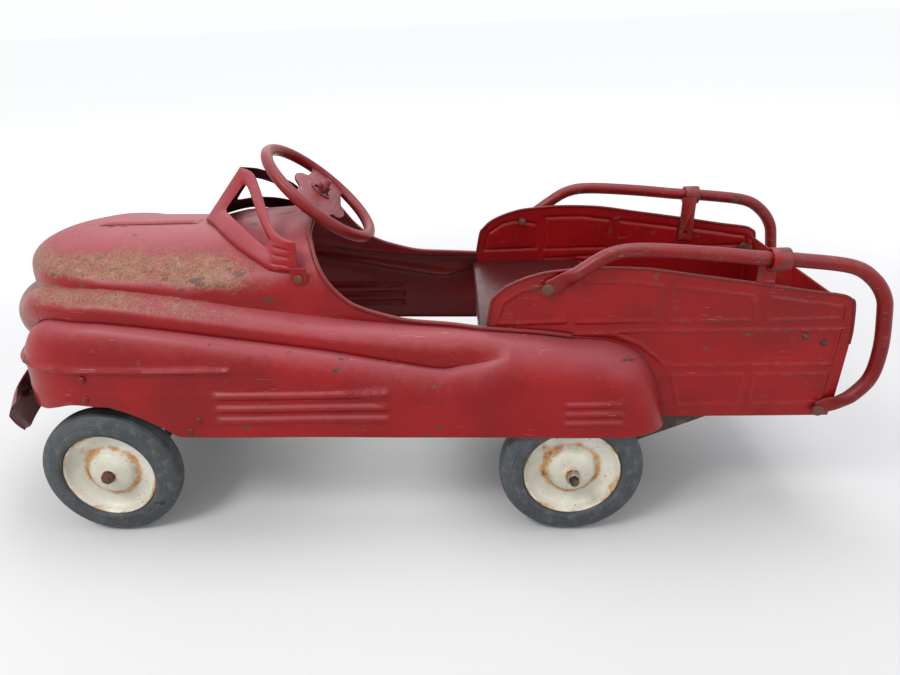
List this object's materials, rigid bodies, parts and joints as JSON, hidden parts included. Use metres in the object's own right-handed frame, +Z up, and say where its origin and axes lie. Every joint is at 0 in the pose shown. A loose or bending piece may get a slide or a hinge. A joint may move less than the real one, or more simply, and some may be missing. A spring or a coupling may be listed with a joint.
{
  "type": "pedal car",
  "caption": "Station-wagon style child's pedal car in pressed steel with rolled fenders, split windshield, cargo box with grab rails, tailgate and crank drive.",
  "frame": {"origin": "on the ground at the middle of the car's length and width", "axes": "+X to the tail, +Y to the car's right-hand side, +Z up; the nose points to -X"},
  "size_m": [1.208, 0.44, 0.5111],
  "materials": {
    "paint_red": "aged gloss enamel",
    "paint_faded": "chalked enamel",
    "dark_steel": "dull dark paint",
    "rusty_steel": "rusted",
    "rubber": "aged",
    "paint_cream": "aged gloss enamel",
    "plated": "dull plating"
  },
  "bodies": {
    "chassis": {"body_half_left": "paint_red", "body_half_right": "paint_red", "windshield_frame": "paint_red", "cargo_panel_left": "paint_red", "cargo_panel_right": "paint_red", "grab_rail_left": "paint_red", "grab_rail_right": "paint_red", "rail_clamp_left": "paint_red", "rail_clamp_right": "paint_red", "nose_cap": "paint_faded", "hood_band": "paint_faded", "front_bumper": "paint_faded", "bumper_bracket_left": "dark_steel", "bumper_bracket_right": "dark_steel", "column_bracket": "dark_steel", "front_axle_beam": "dark_steel", "axle_hanger_left": "dark_steel", "axle_hanger_right": "dark_steel", "rear_axle_hanger_left": "dark_steel", "rear_axle_hanger_right": "dark_steel", "pedal_pivot_rod": "dark_steel", "seat_pan": "dark_steel", "cargo_floor": "dark_steel", "tailgate_hinge_rod": "dark_steel", "windshield_screw_left": "rusty_steel", "windshield_screw_right": "rusty_steel", "rear_axle_bush_left": "rusty_steel", "rear_axle_bush_right": "rusty_steel", "rail_bolt_front_left": "rusty_steel", "rail_bolt_front_right": "rusty_steel", "rail_bolt_rear_left": "rusty_steel", "rail_bolt_rear_right": "rusty_steel"},
    "steering": {"steering_wheel": "paint_red", "steering_column": "dark_steel", "steering_cap_nut": "paint_red"},
    "tie_rod": {"tie_rod": "dark_steel"},
    "knuckle_left": {"steering_knuckle_left": "dark_steel", "front_axle_nut_left": "rusty_steel"},
    "knuckle_right": {"steering_knuckle_right": "dark_steel", "front_axle_nut_right": "rusty_steel"},
    "front_wheel_left": {"front_tyre_left": "rubber", "front_wheel_disc_left": "paint_cream"},
    "front_wheel_right": {"front_tyre_right": "rubber", "front_wheel_disc_right": "paint_cream"},
    "rear_axle": {"rear_axle": "dark_steel", "rear_tyre_left": "rubber", "rear_wheel_disc_left": "paint_cream", "rear_axle_nut_left": "plated", "rear_axle_nut_right": "plated"},
    "rear_wheel_right": {"rear_tyre_right": "rubber", "rear_wheel_disc_right": "paint_cream"},
    "pedal_arm_left": {"pedal_arm_left": "dark_steel"},
    "pedal_arm_right": {"pedal_arm_right": "dark_steel"},
    "pedal_left": {"pedal_block_left": "rubber"},
    "pedal_right": {"pedal_block_right": "rubber"},
    "drive_rod_left": {"drive_rod_left": "dark_steel"},
    "drive_rod_right": {"drive_rod_right": "dark_steel"},
    "tailgate": {"tailgate": "paint_red"},
    "latch_left": {"tailgate_latch_left": "rusty_steel"},
    "latch_right": {"tailgate_latch_right": "rusty_steel"}
  },
  "joints": [
    {"name": "steering_turn", "type": "hinge", "parent": "chassis", "child": "steering", "pos_m": [-0.1335, 0, 0.443], "axis": [0.6691, 0, 0.7431], "range_deg": [-24, 24]},
    {"name": "tie_rod_slide", "type": "slide", "parent": "chassis", "child": "tie_rod", "axis": [0, 1, 0], "range_m": [-0.01676, 0.01676]},
    {"name": "knuckle_left_turn", "type": "hinge", "parent": "chassis", "child": "knuckle_left", "pos_m": [-0.4315, -0.14, 0.0975], "axis": [0, 0, 1], "range_deg": [-20.88, 20.88]},
    {"name": "knuckle_right_turn", "type": "hinge", "parent": "chassis", "child": "knuckle_right", "pos_m": [-0.4315, 0.14, 0.0975], "axis": [0, 0, 1], "range_deg": [-20.88, 20.88]},
    {"name": "front_wheel_left_spin", "type": "hinge", "parent": "knuckle_left", "child": "front_wheel_left", "pos_m": [-0.4315, -0.178, 0.0975], "axis": [0, 1, 0], "continuous": true},
    {"name": "front_wheel_right_spin", "type": "hinge", "parent": "knuckle_right", "child": "front_wheel_right", "pos_m": [-0.4315, 0.178, 0.0975], "axis": [0, 1, 0], "continuous": true},
    {"name": "rear_axle_spin", "type": "hinge", "parent": "chassis", "child": "rear_axle", "pos_m": [0.2105, 0, 0.0975], "axis": [0, 1, 0], "continuous": true},
    {"name": "rear_wheel_right_spin", "type": "hinge", "parent": "rear_axle", "child": "rear_wheel_right", "pos_m": [0.2105, 0.181, 0.0975], "axis": [0, 1, 0], "continuous": true},
    {"name": "pedal_left_swing", "type": "hinge", "parent": "chassis", "child": "pedal_arm_left", "pos_m": [-0.2615, -0.104, 0.32], "axis": [0, 1, 0], "range_deg": [-17.5, 17.5]},
    {"name": "pedal_block_left_tilt", "type": "hinge", "parent": "pedal_arm_left", "child": "pedal_left", "pos_m": [-0.2615, -0.104, 0.135], "axis": [0, 1, 0], "range_deg": [-25, 25]},
    {"name": "drive_rod_left_swing", "type": "hinge", "parent": "pedal_arm_left", "child": "drive_rod_left", "pos_m": [-0.2615, -0.113, 0.17], "axis": [0, 1, 0], "range_deg": [-17.5, 17.5]},
    {"name": "pedal_right_swing", "type": "hinge", "parent": "chassis", "child": "pedal_arm_right", "pos_m": [-0.2615, 0.104, 0.32], "axis": [0, 1, 0], "range_deg": [-17.5, 17.5]},
    {"name": "pedal_block_right_tilt", "type": "hinge", "parent": "pedal_arm_right", "child": "pedal_right", "pos_m": [-0.2615, 0.104, 0.135], "axis": [0, 1, 0], "range_deg": [-25, 25]},
    {"name": "drive_rod_right_swing", "type": "hinge", "parent": "pedal_arm_right", "child": "drive_rod_right", "pos_m": [-0.2615, 0.113, 0.17], "axis": [0, 1, 0], "range_deg": [-17.5, 17.5]},
    {"name": "tailgate_drop", "type": "hinge", "parent": "chassis", "child": "tailgate", "pos_m": [0.5505, 0, 0.177], "axis": [0, 1, 0], "range_deg": [0, 90]},
    {"name": "latch_left_lift", "type": "hinge", "parent": "chassis", "child": "latch_left", "pos_m": [0.5385, -0.15, 0.3], "axis": [0, -1, 0], "range_deg": [0, 30]},
    {"name": "latch_right_lift", "type": "hinge", "parent": "chassis", "child": "latch_right", "pos_m": [0.5385, 0.15, 0.3], "axis": [0, -1, 0], "range_deg": [0, 30]}
  ],
  "couplings": [
    {"joint": "tie_rod_slide", "follows": "steering_turn", "m_per_rad": 0.04},
    {"joint": "knuckle_left_turn", "follows": "steering_turn", "ratio": 0.87},
    {"joint": "knuckle_right_turn", "follows": "steering_turn", "ratio": 0.87},
    {"joint": "pedal_right_swing", "follows": "pedal_left_swing", "ratio": -1},
    {"joint": "drive_rod_left_swing", "follows": "pedal_left_swing", "ratio": -1},
    {"joint": "drive_rod_right_swing", "follows": "pedal_left_swing", "ratio": 1}
  ]
}
